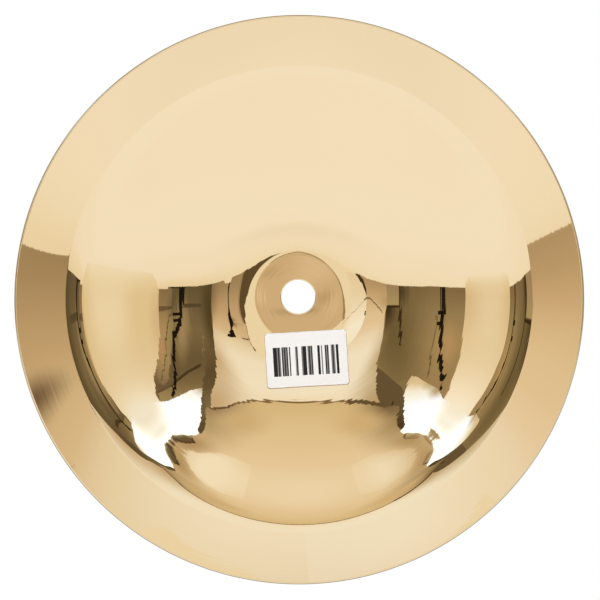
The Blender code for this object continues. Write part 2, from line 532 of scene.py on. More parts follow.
class Studio:
    """Lit cards on a plane under or over the cymbal, which only its mirror finish shows."""

    def __init__(self, name, side):
        self.name = name
        self.side = side
        self.layer = 0

    def card(self, name, corners, shades, pools=(), distance=None):
        """A card whose corners are tangents of the angles off the axis, to the right and up."""
        if distance is None:
            distance = CARD_DISTANCE - self.layer * LAYER_STEP
            self.layer += 1
        points = [(distance * right, -distance * up, self.side * distance) for right, up in corners]
        title = f"{self.name}_{name}"
        mesh = bpy.data.meshes.new(title)
        mesh.from_pydata(points, [], [list(range(len(points)))])
        place = mesh.uv_layers.new(name="card")
        for loop in mesh.loops:
            place.data[loop.index].uv = corners[loop.vertex_index]
        mesh.materials.append(glow(title, shades, pools))
        thing = link(bpy.data.objects.new(title, mesh))
        thing.visible_camera = False
        thing.visible_shadow = False

    def plain(self, name, corners, colour, distance=None):
        self.card(name, corners, [(0.0, colour)], distance=distance)

    def strip(self, name, line, width, colour, distance=None):
        """A narrow card along a line of points, as a lamp stand's pole or a cable."""
        left, right = [], []
        for index, (across, up) in enumerate(line):
            before = line[max(index - 1, 0)]
            after = line[min(index + 1, len(line) - 1)]
            ahead = Vector((after[0] - before[0], after[1] - before[1])).normalized()
            aside = Vector((-ahead.y, ahead.x)) * width / 2
            left.append((across + aside.x, up + aside.y))
            right.append((across - aside.x, up - aside.y))
        self.plain(name, left + right[::-1], colour, distance)


def box_corners(left, right, low, high):
    return [(left, low), (right, low), (right, high), (left, high)]


BLACK = (0.014, 0.010, 0.007)
DARK_BROWN = (0.09, 0.065, 0.04)
WHITE = (2.4, 2.5, 2.8)


def furnish(studio):
    """The room that the metal mirrors: table, panel, side panels, dark gaps, lights, ceiling."""
    studio.plain("wall", box_corners(-6, 6, -6, 6), (0.27, 0.21, 0.12))
    studio.card("ceiling", box_corners(-6, 6, 1.0, 4.0), [
        (1.05, (0.74, 0.60, 0.40)),
        (1.12, (0.77, 0.64, 0.43)),
        (1.25, (0.82, 0.69, 0.50)),
        (1.40, (0.85, 0.73, 0.54)),
        (1.70, (0.88, 0.77, 0.61)),
        (1.85, (0.90, 0.79, 0.64)),
        (1.95, (0.91, 0.82, 0.70)),
        (2.20, (0.96, 0.90, 0.80)),
    ], [
        ((1.10, 1.22), (0.72, 0.66), (0.50, 0.40, 0.26)),
        ((0.92, 1.12), (0.48, 0.17), (0.36, 0.28, 0.20)),
        ((1.34, 1.68), (0.48, 0.26), (0.50, 0.37, 0.22)),
        ((-1.10, 1.24), (0.70, 0.64), (0.40, 0.31, 0.19)),
        ((-0.95, 1.12), (0.48, 0.17), (0.24, 0.18, 0.11)),
        ((-1.28, 1.60), (0.42, 0.22), (0.52, 0.40, 0.24)),
        ((0.62, 1.26), (0.42, 0.24), (0.70, 0.56, 0.36)),
        ((-0.62, 1.26), (0.42, 0.24), (0.72, 0.57, 0.36)),
    ])
    studio.card("ceiling_lit_right", [
        (2.0, 1.62), (1.60, 1.64), (1.40, 1.74), (1.28, 1.79), (1.17, 1.80), (1.0, 1.78),
        (0.8, 1.80), (0.6, 1.9), (0.8, 2.6), (2.2, 2.4),
    ], [
        (1.70, (0.80, 0.67, 0.50)),
        (1.78, (0.93, 0.88, 0.80)),
        (1.86, (1.02, 1.00, 0.97)),
    ], [
        ((0.60, 1.80), (0.45, 0.5), (0.92, 0.84, 0.70)),
    ])
    studio.card("ceiling_lit_left", [
        (-2.0, 1.5), (-1.50, 1.56), (-1.34, 1.68), (-1.20, 1.72), (-1.05, 1.74), (-0.8, 1.78),
        (-0.6, 1.9), (-0.8, 2.6), (-2.2, 2.4),
    ], [
        (1.62, (0.72, 0.60, 0.42)),
        (1.72, (0.80, 0.69, 0.53)),
        (1.80, (0.90, 0.85, 0.76)),
        (1.90, (1.00, 0.97, 0.94)),
    ], [
        ((-0.60, 1.80), (0.45, 0.5), (0.92, 0.84, 0.70)),
    ])

    studio.card("gap_right", [
        (0.72, -0.3), (1.70, -0.3), (1.70, 0.5), (1.85, 1.18), (1.70, 1.18), (1.00, 0.92), (0.85, 0.6),
    ], [
        (-0.15, (0.15, 0.12, 0.07)),
        (0.30, (0.22, 0.17, 0.10)),
        (0.60, (0.16, 0.125, 0.07)),
        (0.85, (0.17, 0.13, 0.075)),
    ], [
        ((1.29, 0.28), (0.13, 0.50), (0.39, 0.31, 0.19)),
        ((0.80, 0.10), (0.34, 0.85), (0.09, 0.07, 0.03)),
        ((0.96, 0.80), (0.14, 0.26), (0.11, 0.08, 0.045)),
    ])
    studio.card("gap_right_wood", [
        (1.41, -0.3), (1.70, -0.3), (1.70, 0.5), (1.80, 0.9), (1.60, 0.93), (1.50, 0.86), (1.43, 0.6),
        (1.40, 0.3),
    ], [
        (-0.15, (0.28, 0.20, 0.12)),
        (0.06, (0.34, 0.25, 0.15)),
        (0.30, (0.47, 0.35, 0.21)),
        (0.60, (0.42, 0.33, 0.19)),
        (0.90, (0.28, 0.20, 0.13)),
    ], [
        ((1.42, 0.35), (0.09, 0.7), (0.33, 0.29, 0.16)),
        ((1.56, 0.50), (0.08, 0.35), (0.50, 0.34, 0.21)),
        ((1.75, 1.00), (0.18, 0.26), (0.13, 0.09, 0.055)),
        ((1.41, 0.00), (0.10, 0.25), (0.20, 0.16, 0.11)),
    ])
    studio.card("gap_right_lit", [
        (1.03, 0.60), (1.074, 0.665), (1.215, 0.735), (1.338, 0.82), (1.388, 0.857), (1.46, 0.907),
        (1.585, 0.966), (1.78, 1.06), (1.78, 1.20), (1.30, 1.03), (1.03, 0.90),
    ], [
        (0.70, (0.17, 0.13, 0.075)),
        (0.85, (0.22, 0.17, 0.095)),
        (1.02, (0.34, 0.27, 0.16)),
        (1.10, (0.37, 0.31, 0.18)),
    ])
    studio.strip("gap_right_fold", [
        (1.07, 0.668), (1.215, 0.735), (1.338, 0.82), (1.388, 0.857),
    ], 0.030, (0.075, 0.052, 0.025))
    studio.strip("gap_right_fold_far", [
        (1.42, 0.885), (1.585, 0.97), (1.74, 1.045),
    ], 0.030, (0.15, 0.11, 0.065))
    studio.card("gap_right_rim", [
        (1.70, 1.17), (1.73, 1.04), (1.70, 0.93), (1.69, 0.82), (1.65, 0.74), (1.69, 0.72), (1.75, 0.83),
        (1.77, 0.96), (1.79, 1.10), (1.74, 1.18),
    ], [
        (0.75, (0.30, 0.23, 0.13)),
        (0.95, (0.15, 0.11, 0.06)),
        (1.15, (0.24, 0.18, 0.10)),
    ])
    studio.card("gap_right_post", [
        (0.88, 0.70), (1.05, 0.80), (1.055, 0.905), (1.043, 1.00), (1.04, 1.12), (0.969, 1.135),
        (0.969, 0.99), (0.951, 0.93), (0.92, 0.87), (0.90, 0.80),
    ], [
        (0.78, (0.125, 0.095, 0.050)),
        (0.90, (0.14, 0.110, 0.060)),
        (1.00, (0.19, 0.155, 0.090)),
        (1.10, (0.22, 0.175, 0.105)),
    ])

    studio.card("gap_left", [
        (-0.70, -0.3), (-2.05, -0.3), (-2.05, 0.60), (-1.70, 1.15), (-1.16, 0.80), (-0.98, 0.84),
        (-0.86, 0.75), (-0.78, 0.40),
    ], [
        (-0.15, (0.26, 0.19, 0.11)),
        (0.10, (0.34, 0.27, 0.16)),
        (0.40, (0.42, 0.32, 0.18)),
        (0.80, (0.38, 0.29, 0.17)),
    ], [
        ((-1.66, 0.45), (0.24, 0.34), (0.50, 0.36, 0.21)),
        ((-1.00, 0.30), (0.56, 1.30), (0.17, 0.135, 0.07)),
        ((-0.78, 0.06), (0.30, 0.30), (0.065, 0.04, 0.02)),
        ((-1.10, -0.12), (0.10, 0.22), (0.10, 0.07, 0.04)),
    ])
    studio.card("gap_left_box", [
        (-1.045, -0.3), (-0.753, -0.3), (-0.753, 0.022), (-1.04, 0.026),
    ], [
        (-0.13, (0.39, 0.30, 0.20)),
        (0.01, (0.44, 0.38, 0.22)),
    ])
    studio.strip("gap_left_box_edge", [(-1.075, 0.044), (-0.748, 0.036)], 0.018, (0.05, 0.03, 0.012))
    studio.plain("gap_left_corner", [
        (-1.08, 0.90), (-1.045, 0.875), (-0.969, 0.815), (-0.871, 0.732), (-0.822, 0.70), (-0.809, 0.735),
        (-0.793, 0.82), (-0.787, 0.905), (-0.797, 0.966), (-0.822, 1.03), (-0.86, 1.10), (-1.06, 1.10),
    ], (0.145, 0.110, 0.062))
    studio.plain("gap_left_peg", [
        (-0.99, 1.10), (-0.985, 1.04), (-0.96, 1.03), (-0.958, 1.07), (-0.97, 1.11),
    ], (0.07, 0.045, 0.025))

    cream = (0.95, 0.90, 0.78)
    studio.card("side_right", [
        (1.585, -0.4), (1.584, 0.09), (1.588, 0.31), (1.60, 0.50), (1.628, 0.61), (1.665, 0.67),
        (1.683, 0.745), (1.732, 0.806), (1.75, 0.892), (1.757, 0.978), (1.775, 1.089), (1.735, 1.163),
        (1.58, 1.135), (1.55, 1.58), (2.0, 2.0), (6, 3), (6, -1.5), (1.70, -1.5),
    ], [
        (-0.45, (1.0, 0.97, 0.93)),
        (-0.28, (0.90, 0.83, 0.67)),
        (-0.12, (0.84, 0.74, 0.55)),
        (0.30, (0.84, 0.74, 0.55)),
        (0.60, (0.86, 0.76, 0.60)),
        (0.85, (0.90, 0.82, 0.69)),
        (1.05, (0.96, 0.93, 0.87)),
        (1.20, (1.01, 1.05, 1.13)),
        (1.30, (1.02, 1.08, 1.18)),
    ], [
        ((1.55, 0.15), (0.28, 0.55), (0.74, 0.59, 0.41)),
        ((2.55, 0.15), (0.62, 1.2), cream),
    ])
    studio.card("side_left", [
        (-1.957, -0.4), (-1.955, -0.19), (-1.948, -0.10), (-1.933, 0.045), (-1.918, 0.235),
        (-1.904, 0.41), (-1.898, 0.50), (-1.886, 0.61), (-1.862, 0.695), (-1.85, 0.77), (-1.83, 0.843),
        (-1.812, 0.905), (-1.80, 0.966), (-1.788, 1.015), (-1.763, 1.065), (-1.726, 1.114),
        (-1.708, 1.142), (-1.50, 1.15), (-1.50, 1.545), (-2.0, 2.0), (-6, 3), (-6, -1.5), (-2.1, -1.5),
    ], [
        (-0.40, (1.02, 1.01, 0.98)),
        (-0.25, (0.86, 0.77, 0.60)),
        (-0.12, (0.79, 0.66, 0.48)),
        (0.10, (0.80, 0.67, 0.50)),
        (0.30, (0.85, 0.75, 0.58)),
        (0.60, (0.90, 0.82, 0.68)),
        (0.85, (0.98, 0.93, 0.85)),
        (1.05, (1.05, 1.04, 1.05)),
        (1.20, (1.08, 1.13, 1.22)),
    ], [
        ((-2.50, 0.20), (0.55, 1.1), (0.97, 0.92, 0.82)),
    ])

    studio.card("softbox_right", [
        (1.0615, 0.911), (1.19, 0.935), (1.30, 0.99), (1.40, 1.04), (1.498, 1.089), (1.585, 1.132),
        (1.708, 1.169), (1.82, 1.19), (1.88, 1.21), (1.90, 1.5), (1.70, 1.70), (1.585, 1.588),
        (1.46, 1.582), (1.363, 1.575), (1.29, 1.563), (1.215, 1.52), (1.203, 1.50), (1.19, 1.42),
        (1.148, 1.348), (1.117, 1.286), (1.105, 1.212), (1.092, 1.138), (1.086, 1.065), (1.068, 0.978),
    ], [
        (0.95, (1.11, 1.26, 1.60)),
        (1.10, (1.22, 1.48, 2.20)),
        (1.30, (1.50, 1.70, 2.30)),
    ], [
        ((1.05, 0.90), (0.16, 0.13), (0.58, 0.50, 0.40)),
        ((1.89, 1.35), (0.34, 0.90), (1.00, 1.06, 1.16)),
        ((1.73, 1.52), (0.13, 0.13), (1.05, 1.18, 1.40)),
    ])
    studio.card("softbox_left", [
        (-1.11, 0.929), (-1.123, 0.868), (-1.16, 0.806), (-1.185, 0.775), (-1.215, 0.772),
        (-1.265, 0.790), (-1.338, 0.835), (-1.412, 0.875), (-1.51, 0.925), (-1.585, 0.965),
        (-1.66, 1.05), (-1.72, 1.13), (-1.80, 1.16), (-1.82, 1.5), (-1.75, 1.65), (-1.554, 1.455),
        (-1.535, 1.50), (-1.498, 1.542), (-1.46, 1.545), (-1.412, 1.532), (-1.363, 1.526),
        (-1.289, 1.514), (-1.215, 1.50), (-1.178, 1.495), (-1.135, 1.458), (-1.154, 1.41),
        (-1.172, 1.36), (-1.148, 1.286), (-1.129, 1.212), (-1.11, 1.09), (-1.105, 1.015),
    ], [
        (0.78, (0.79, 0.67, 0.50)),
        (0.86, (0.84, 0.75, 0.60)),
        (0.94, (1.05, 1.12, 1.25)),
        (1.02, (1.10, 1.26, 1.60)),
        (1.12, (1.16, 1.40, 2.10)),
        (1.30, (1.50, 1.70, 2.30)),
    ], [
        ((-1.44, 0.89), (0.17, 0.10), (0.68, 0.58, 0.42)),
        ((-1.58, 0.98), (0.20, 0.15), (0.54, 0.44, 0.28)),
        ((-1.81, 1.35), (0.20, 0.90), (1.05, 1.13, 1.27)),
        ((-1.71, 1.41), (0.17, 0.20), (1.06, 1.19, 1.40)),
    ])
    studio.plain("softbox_left_corner", [
        (-1.552, 1.475), (-1.60, 1.475), (-1.75, 1.60), (-1.60, 1.72), (-1.47, 1.62), (-1.455, 1.555),
        (-1.498, 1.546), (-1.535, 1.505),
    ], (0.42, 0.32, 0.18))
    studio.card("softbox_right_frame", [
        (1.055, 0.905), (1.068, 0.978), (1.086, 1.065), (1.095, 1.138), (1.107, 1.212), (1.12, 1.286),
        (1.15, 1.348), (1.19, 1.42), (1.205, 1.48), (1.178, 1.515), (1.13, 1.458), (1.092, 1.397),
        (1.062, 1.298), (1.05, 1.237), (1.043, 1.15), (1.037, 1.065),
    ], [
        (0.95, (0.16, 0.13, 0.075)),
        (1.20, (0.19, 0.155, 0.09)),
        (1.32, (0.13, 0.10, 0.055)),
        (1.50, (0.12, 0.085, 0.05)),
    ])
    studio.card("softbox_left_frame", [
        (-1.086, 0.93), (-1.062, 1.015), (-1.055, 1.09), (-1.062, 1.188), (-1.043, 1.225),
        (-1.055, 1.274), (-1.062, 1.335), (-1.092, 1.385), (-1.129, 1.42), (-1.16, 1.41),
        (-1.172, 1.354), (-1.148, 1.286), (-1.129, 1.212), (-1.112, 1.09), (-1.107, 1.015), (-1.11, 0.93),
    ], [
        (0.95, (0.15, 0.12, 0.07)),
        (1.20, (0.12, 0.095, 0.05)),
        (1.35, (0.085, 0.055, 0.03)),
    ])
    studio.card("bar_right", [
        (1.285, 1.68), (1.363, 1.682), (1.46, 1.668), (1.53, 1.64), (1.60, 1.575), (1.54, 1.588),
        (1.46, 1.584), (1.363, 1.578), (1.314, 1.575), (1.33, 1.62),
    ], [
        (1.58, (0.45, 0.42, 0.26)),
        (1.615, (0.16, 0.13, 0.075)),
        (1.67, (0.15, 0.10, 0.06)),
    ])
    studio.strip("bar_right_top", [
        (1.30, 1.68), (1.363, 1.68), (1.46, 1.666), (1.53, 1.638), (1.59, 1.588),
    ], 0.016, (0.07, 0.045, 0.022))
    studio.plain("bar_right_end", [
        (1.282, 1.683), (1.335, 1.683), (1.335, 1.62), (1.315, 1.60),
    ], (0.09, 0.06, 0.03))
    studio.card("bar_left", [
        (-1.20, 1.51), (-1.20, 1.572), (-1.23, 1.597), (-1.30, 1.602), (-1.375, 1.59), (-1.41, 1.565),
        (-1.412, 1.535), (-1.363, 1.530), (-1.289, 1.518), (-1.25, 1.51),
    ], [
        (1.52, (0.62, 0.56, 0.44)),
        (1.56, (0.42, 0.34, 0.22)),
        (1.60, (0.30, 0.22, 0.13)),
    ])
    studio.plain("bar_left_end", [
        (-1.20, 1.51), (-1.196, 1.572), (-1.22, 1.585), (-1.235, 1.53), (-1.26, 1.505),
    ], (0.22, 0.16, 0.09))

    # Painted shade: the panel turns tan about its lower middle, the same on both halves so that they agree where
    # they meet
    panel_middle_shade = ((0.0, 0.02), (0.32, 0.50), (0.64, 0.50, 0.34))
    # Painted shadow: a soft dark patch on the right panel, only in the room below
    panel_shadow = [((0.43, 0.115), (0.085, 0.050), (0.20, 0.14, 0.09))] if studio.side < 0 else []
    studio.card("panel_right", [
        (0.0, -0.3), (0.755, -0.3), (0.755, -0.05), (0.760, 0.05), (0.766, 0.145), (0.78, 0.20),
        (0.80, 0.27), (0.835, 0.365), (0.865, 0.45), (0.895, 0.53), (0.918, 0.60), (0.914, 0.70),
        (0.908, 0.806), (0.92, 0.868), (0.951, 0.93), (0.969, 0.99), (0.972, 1.09), (0.969, 1.12),
        (0.846, 1.114), (0.789, 1.103), (0.748, 1.082), (0.692, 1.062), (0.623, 1.050), (0.54, 1.044),
        (0.415, 1.048), (0.277, 1.055), (0.138, 1.062), (0.0, 1.064),
    ], [
        (-0.15, (0.38, 0.29, 0.18)),
        (-0.09, (0.43, 0.33, 0.21)),
        (-0.04, (0.50, 0.38, 0.25)),
        (0.015, (0.57, 0.44, 0.29)),
        (0.065, (0.62, 0.48, 0.325)),
        (0.12, (0.69, 0.56, 0.39)),
        (0.165, (0.73, 0.60, 0.43)),
        (0.21, (0.78, 0.65, 0.49)),
        (0.25, (0.85, 0.77, 0.65)),
        (0.29, (0.90, 0.85, 0.74)),
        (0.33, (0.93, 0.89, 0.82)),
        (0.38, (0.96, 0.94, 0.92)),
        (0.45, (0.99, 0.99, 1.00)),
        (0.70, (1.00, 1.01, 1.03)),
        (0.90, (1.00, 1.02, 1.05)),
        (1.02, (1.00, 0.98, 0.96)),
    ], [
        ((0.80, -0.08), (0.24, 0.32), (0.26, 0.19, 0.12)),
        ((0.95, 0.62), (0.45, 0.60), (0.66, 0.53, 0.37)),
        ((0.95, 1.06), (0.52, 0.42), (0.64, 0.51, 0.36)),
        panel_middle_shade,
    ] + panel_shadow)
    studio.card("panel_left", [
        (0.0, -0.3), (0.0, 1.064), (-0.138, 1.057), (-0.277, 1.048), (-0.415, 1.037), (-0.498, 1.035),
        (-0.54, 1.020), (-0.623, 1.018), (-0.692, 1.025), (-0.748, 1.027), (-0.789, 1.048),
        (-0.845, 1.068), (-0.817, 1.02), (-0.796, 0.965), (-0.790, 0.895), (-0.806, 0.757),
        (-0.818, 0.632), (-0.800, 0.535), (-0.775, 0.397), (-0.755, 0.286), (-0.736, 0.175),
        (-0.733, 0.095), (-0.755, 0.03), (-0.753, -0.3),
    ], [
        (-0.15, (0.50, 0.38, 0.25)),
        (-0.10, (0.56, 0.43, 0.28)),
        (-0.04, (0.68, 0.53, 0.37)),
        (0.02, (0.775, 0.64, 0.47)),
        (0.075, (0.83, 0.71, 0.55)),
        (0.13, (0.865, 0.735, 0.585)),
        (0.19, (0.90, 0.80, 0.68)),
        (0.24, (0.94, 0.89, 0.83)),
        (0.28, (0.96, 0.92, 0.87)),
        (0.33, (0.98, 0.96, 0.95)),
        (0.40, (1.00, 1.01, 1.05)),
        (0.70, (1.00, 1.02, 1.05)),
        (0.90, (1.02, 1.04, 1.08)),
        (1.02, (1.00, 0.98, 0.96)),
    ], [
        ((-0.75, -0.02), (0.25, 0.12), (0.55, 0.43, 0.29)),
        ((-0.85, 0.62), (0.34, 0.80), (0.62, 0.53, 0.38)),
        ((-0.84, 1.04), (0.44, 0.34), (0.55, 0.43, 0.27)),
        panel_middle_shade,
    ])
    edge = (0.24, 0.17, 0.08)
    studio.strip("panel_top", [
        (-0.55, 1.045), (-0.415, 1.046), (-0.277, 1.058), (-0.138, 1.066), (0.0, 1.073), (0.138, 1.071),
        (0.277, 1.064), (0.415, 1.057), (0.54, 1.053), (0.62, 1.060), (0.70, 1.075), (0.76, 1.10),
    ], 0.020, edge)
    studio.strip("panel_top_left", [
        (-0.88, 1.085), (-0.79, 1.062), (-0.70, 1.045), (-0.60, 1.038), (-0.50, 1.046),
    ], 0.040, (0.14, 0.10, 0.05))
    studio.strip("panel_top_right", [
        (0.72, 1.082), (0.78, 1.108), (0.86, 1.124), (0.985, 1.130),
    ], 0.024, (0.16, 0.11, 0.06))
    far = [(-1.60, (1.02, 1.00, 1.01)), (-1.00, (1.02, 1.02, 1.04))]
    # Painted shade: in the room above, the table darkens further off
    if studio.side > 0:
        far = [
            (-4.20, (0.78, 0.72, 0.63)),
            (-2.50, (0.46, 0.39, 0.30)),
            (-1.45, (0.62, 0.55, 0.45)),
            (-0.90, (0.93, 0.90, 0.86)),
        ]
    studio.card("table", [
        (-8, -8), (8, -8), (8, -0.95), (2.4, -0.50), (2.0, -0.42), (1.70, -0.36), (1.62, -0.20),
        (1.585, -0.176), (1.534, -0.171), (1.466, -0.167), (1.456, -0.192), (1.377, -0.186),
        (1.307, -0.182), (1.098, -0.180), (0.934, -0.169), (0.795, -0.163), (0.676, -0.159),
        (0.550, -0.161), (0.529, -0.140), (0.515, -0.135), (0.50, -0.133), (0.45, -0.131),
        (0.435, -0.130), (0.425, -0.160), (0.218, -0.161), (0.07, -0.162), (-0.10, -0.160),
        (-0.233, -0.162), (-0.302, -0.164), (-0.373, -0.164), (-0.41, -0.159), (-0.48, -0.159),
        (-0.545, -0.163), (-0.645, -0.161), (-0.759, -0.162), (-0.892, -0.170), (-1.048, -0.180),
        (-1.302, -0.179), (-1.372, -0.187), (-1.446, -0.190), (-1.614, -0.190), (-1.709, -0.192),
        (-1.814, -0.200), (-1.955, -0.205), (-2.02, -0.34), (-2.4, -0.45), (-8, -0.95),
    ], far + [
        (-0.60, (1.02, 1.01, 1.02)),
        (-0.52, (1.01, 0.99, 0.99)),
        (-0.40, (1.01, 0.985, 0.98)),
        (-0.30, (1.01, 0.97, 0.94)),
        (-0.22, (0.995, 0.965, 0.91)),
        (-0.15, (0.97, 0.92, 0.82)),
    ], [
        ((1.30, -0.12), (1.3, 0.22), (0.90, 0.80, 0.62)),
        ((0.00, -0.47), (0.80, 0.17), (0.97, 0.94, 0.91)),
    ])


def clutter(studio):
    """The small things before the panel and in the gaps: lamp stands, a tripod, cables, cloth."""
    studio.plain("pole_right_low", [
        (1.270, -0.184), (1.328, -0.184), (1.325, 0.09), (1.325, 0.14), (1.345, 0.24), (1.328, 0.27),
        (1.300, 0.25), (1.288, 0.20), (1.280, 0.05),
    ], BLACK)
    studio.plain("pole_right_middle", [
        (1.320, 0.205), (1.345, 0.215), (1.368, 0.30), (1.398, 0.30), (1.392, 0.36), (1.375, 0.40),
        (1.362, 0.35), (1.353, 0.405), (1.335, 0.33), (1.322, 0.29),
    ], BLACK)
    studio.strip("pole_right", [
        (1.390, 0.31), (1.388, 0.45), (1.392, 0.60), (1.388, 0.70), (1.390, 0.80), (1.400, 0.90),
        (1.432, 0.96), (1.445, 1.00), (1.475, 1.04),
    ], 0.036, BLACK)
    studio.plain("pole_right_joint", [
        (1.395, 0.865), (1.445, 0.895), (1.445, 0.915), (1.40, 0.915), (1.385, 0.89),
    ], BLACK)
    studio.plain("pole_right_top", [
        (1.405, 0.955), (1.455, 0.955), (1.475, 1.00), (1.485, 1.05), (1.455, 1.06), (1.445, 1.00),
        (1.405, 0.995),
    ], BLACK)
    studio.plain("clamp_right_low", box_corners(1.30, 1.395, 0.098, 0.132), BLACK)
    studio.plain("clamp_right", box_corners(1.305, 1.388, 0.168, 0.202), BLACK)
    studio.plain("foot_right", [
        (1.20, -0.178), (1.32, -0.168), (1.45, -0.176), (1.45, -0.192), (1.38, -0.187), (1.20, -0.182),
    ], (0.04, 0.03, 0.015))
    studio.card("rail_right_near", [
        (0.96, 0.014), (1.275, 0.004), (1.275, 0.050), (0.98, 0.050), (0.95, 0.035),
    ], [
        (0.02, (0.10, 0.08, 0.045)),
        (0.06, (0.13, 0.10, 0.06)),
    ], [
        ((0.93, 0.04), (0.12, 0.1), (0.145, 0.12, 0.065)),
    ])
    studio.plain("rail_right_far", [
        (1.41, 0.025), (1.584, 0.018), (1.583, 0.078), (1.50, 0.072), (1.42, 0.060),
    ], (0.17, 0.12, 0.07))
    studio.strip("wire_right", [
        (1.389, -0.10), (1.397, 0.015), (1.418, 0.09), (1.448, 0.16), (1.470, 0.235), (1.487, 0.36),
        (1.492, 0.45), (1.503, 0.56), (1.523, 0.658), (1.56, 0.745), (1.597, 0.818), (1.61, 0.87),
    ], 0.012, (0.13, 0.10, 0.05))
    studio.strip("wire_right_knot", [(1.405, 0.05), (1.440, 0.035), (1.46, 0.05)], 0.018, (0.12, 0.09, 0.05))
    studio.strip("wire_right_low", [(1.352, 0.08), (1.360, 0.00), (1.375, -0.08)], 0.010, (0.14, 0.11, 0.06))
    studio.strip("shine_right", [(1.052, 0.60), (1.060, 0.45), (1.070, 0.31)], 0.010, (0.27, 0.215, 0.13))
    studio.strip("pole_left_back", [(-1.592, -0.191), (-1.588, 0.10)], 0.036, BLACK)
    studio.strip("pole_left_front", [(-1.548, -0.190), (-1.546, 0.08)], 0.022, (0.03, 0.02, 0.01))
    studio.plain("pole_left_low", [
        (-1.595, 0.10), (-1.560, 0.10), (-1.541, 0.22), (-1.539, 0.30), (-1.516, 0.40), (-1.523, 0.47),
        (-1.538, 0.46), (-1.541, 0.54), (-1.566, 0.545), (-1.598, 0.45), (-1.590, 0.41),
        (-1.566, 0.44), (-1.578, 0.31), (-1.578, 0.22),
    ], BLACK)
    studio.plain("pole_left_middle", [
        (-1.560, 0.50), (-1.530, 0.55), (-1.533, 0.67), (-1.560, 0.68), (-1.565, 0.74), (-1.588, 0.77),
        (-1.593, 0.86), (-1.64, 0.87), (-1.660, 0.86), (-1.622, 0.78), (-1.627, 0.70),
        (-1.600, 0.68), (-1.615, 0.62), (-1.585, 0.585),
    ], BLACK)
    studio.plain("pole_left_joint", [
        (-1.612, 0.79), (-1.590, 0.82), (-1.598, 0.87), (-1.64, 0.875), (-1.680, 0.84), (-1.700, 0.78),
        (-1.662, 0.80),
    ], BLACK)
    studio.plain("pole_left_top", [
        (-1.648, 0.87), (-1.625, 0.90), (-1.613, 0.95), (-1.625, 0.99), (-1.657, 1.00), (-1.665, 0.96),
        (-1.643, 0.93),
    ], BLACK)
    studio.plain("clamp_left_low", box_corners(-1.608, -1.492, 0.079, 0.120), BLACK)
    studio.plain("clamp_left", box_corners(-1.575, -1.482, 0.196, 0.236), BLACK)
    studio.strip("clamp_left_hook", [(-1.487, 0.235), (-1.482, 0.19), (-1.486, 0.13)], 0.012, DARK_BROWN)
    studio.strip("wire_left", [
        (-1.488, 0.24), (-1.475, 0.278), (-1.453, 0.41), (-1.432, 0.512), (-1.420, 0.62), (-1.408, 0.72),
        (-1.390, 0.82),
    ], 0.017, (0.17, 0.125, 0.065))
    studio.strip("thin_pole_left", [(-1.081, 0.03), (-1.074, 0.308), (-1.062, 0.461)], 0.023, (0.05, 0.03, 0.012))
    studio.plain("thin_pole_left_low", [
        (-1.094, -0.181), (-1.060, -0.181), (-1.054, -0.02), (-1.072, 0.05), (-1.084, 0.05),
    ], (0.05, 0.03, 0.014))
    studio.plain("cloth", [
        (0.05, -0.162), (0.07, -0.155), (0.1315, -0.118), (0.152, -0.095), (0.18, -0.053),
        (0.208, -0.025), (0.2355, -0.005), (0.235, 0.03), (0.256, 0.058), (0.262, 0.095), (0.285, 0.15),
        (0.290, 0.22), (0.277, 0.29), (0.25, 0.36), (0.10, 0.40), (-0.10, 0.38), (-0.30, 0.29),
        (-0.290, 0.265), (-0.320, 0.235), (-0.350, 0.195), (-0.378, 0.150), (-0.395, 0.078),
        (-0.400, 0.023), (-0.399, -0.032), (-0.381, -0.074), (-0.346, -0.120), (-0.302, -0.165),
    ], (0.95, 0.89, 0.77))
    studio.card("cloth_light", [
        (-0.18, -0.140), (-0.302, -0.156), (-0.346, -0.108), (-0.379, -0.065), (-0.397, -0.02),
        (-0.398, 0.03), (-0.394, 0.08), (-0.377, 0.15), (-0.349, 0.195), (-0.319, 0.235), (-0.28, 0.265),
        (-0.16, 0.20),
    ], [
        (-0.14, (0.90, 0.80, 0.68)),
        (-0.05, (0.92, 0.86, 0.74)),
        (0.02, (0.99, 0.96, 0.92)),
        (0.12, (1.05, 1.10, 1.16)),
        (0.26, (1.02, 1.05, 1.08)),
    ], [
        ((-0.16, 0.05), (0.07, 0.30), (0.95, 0.89, 0.78)),
    ])
    studio.strip("cloth_line", [
        (-0.380, -0.030), (-0.330, -0.003), (-0.270, 0.020), (-0.220, 0.032), (-0.180, 0.050), (-0.140, 0.060),
    ], 0.005, (0.62, 0.51, 0.36))
    studio.plain("tripod", [
        (0.06, -0.162), (0.09, -0.150), (0.1315, -0.123), (0.152, -0.095), (0.18, -0.053),
        (0.208, -0.028), (0.2355, -0.005), (0.240, 0.03), (0.256, 0.055), (0.256, 0.085),
        (0.277, 0.090), (0.290, 0.05), (0.294, -0.005), (0.286, -0.046), (0.277, -0.088),
        (0.280, -0.146), (0.263, -0.161), (0.152, -0.158), (0.10, -0.163),
    ], (0.125, 0.088, 0.045))
    studio.plain("tripod_side", [
        (0.290, 0.05), (0.294, -0.005), (0.286, -0.046), (0.277, -0.088), (0.284, -0.158),
        (0.300, -0.158), (0.305, -0.05), (0.318, 0.04), (0.300, 0.09), (0.280, 0.09),
    ], (0.36, 0.28, 0.18))
    studio.strip("cloth_edge_right", [
        (0.262, 0.095), (0.285, 0.15), (0.290, 0.22), (0.283, 0.28),
    ], 0.008, (0.45, 0.35, 0.22))
    studio.plain("cloth_mark_right", [(0.27, 0.29), (0.283, 0.30), (0.288, 0.25), (0.280, 0.25)], (0.12, 0.08, 0.04))
    studio.plain("cloth_mark_left", [
        (-0.400, 0.075), (-0.384, 0.068), (-0.386, 0.042), (-0.399, 0.044),
    ], (0.05, 0.03, 0.015))
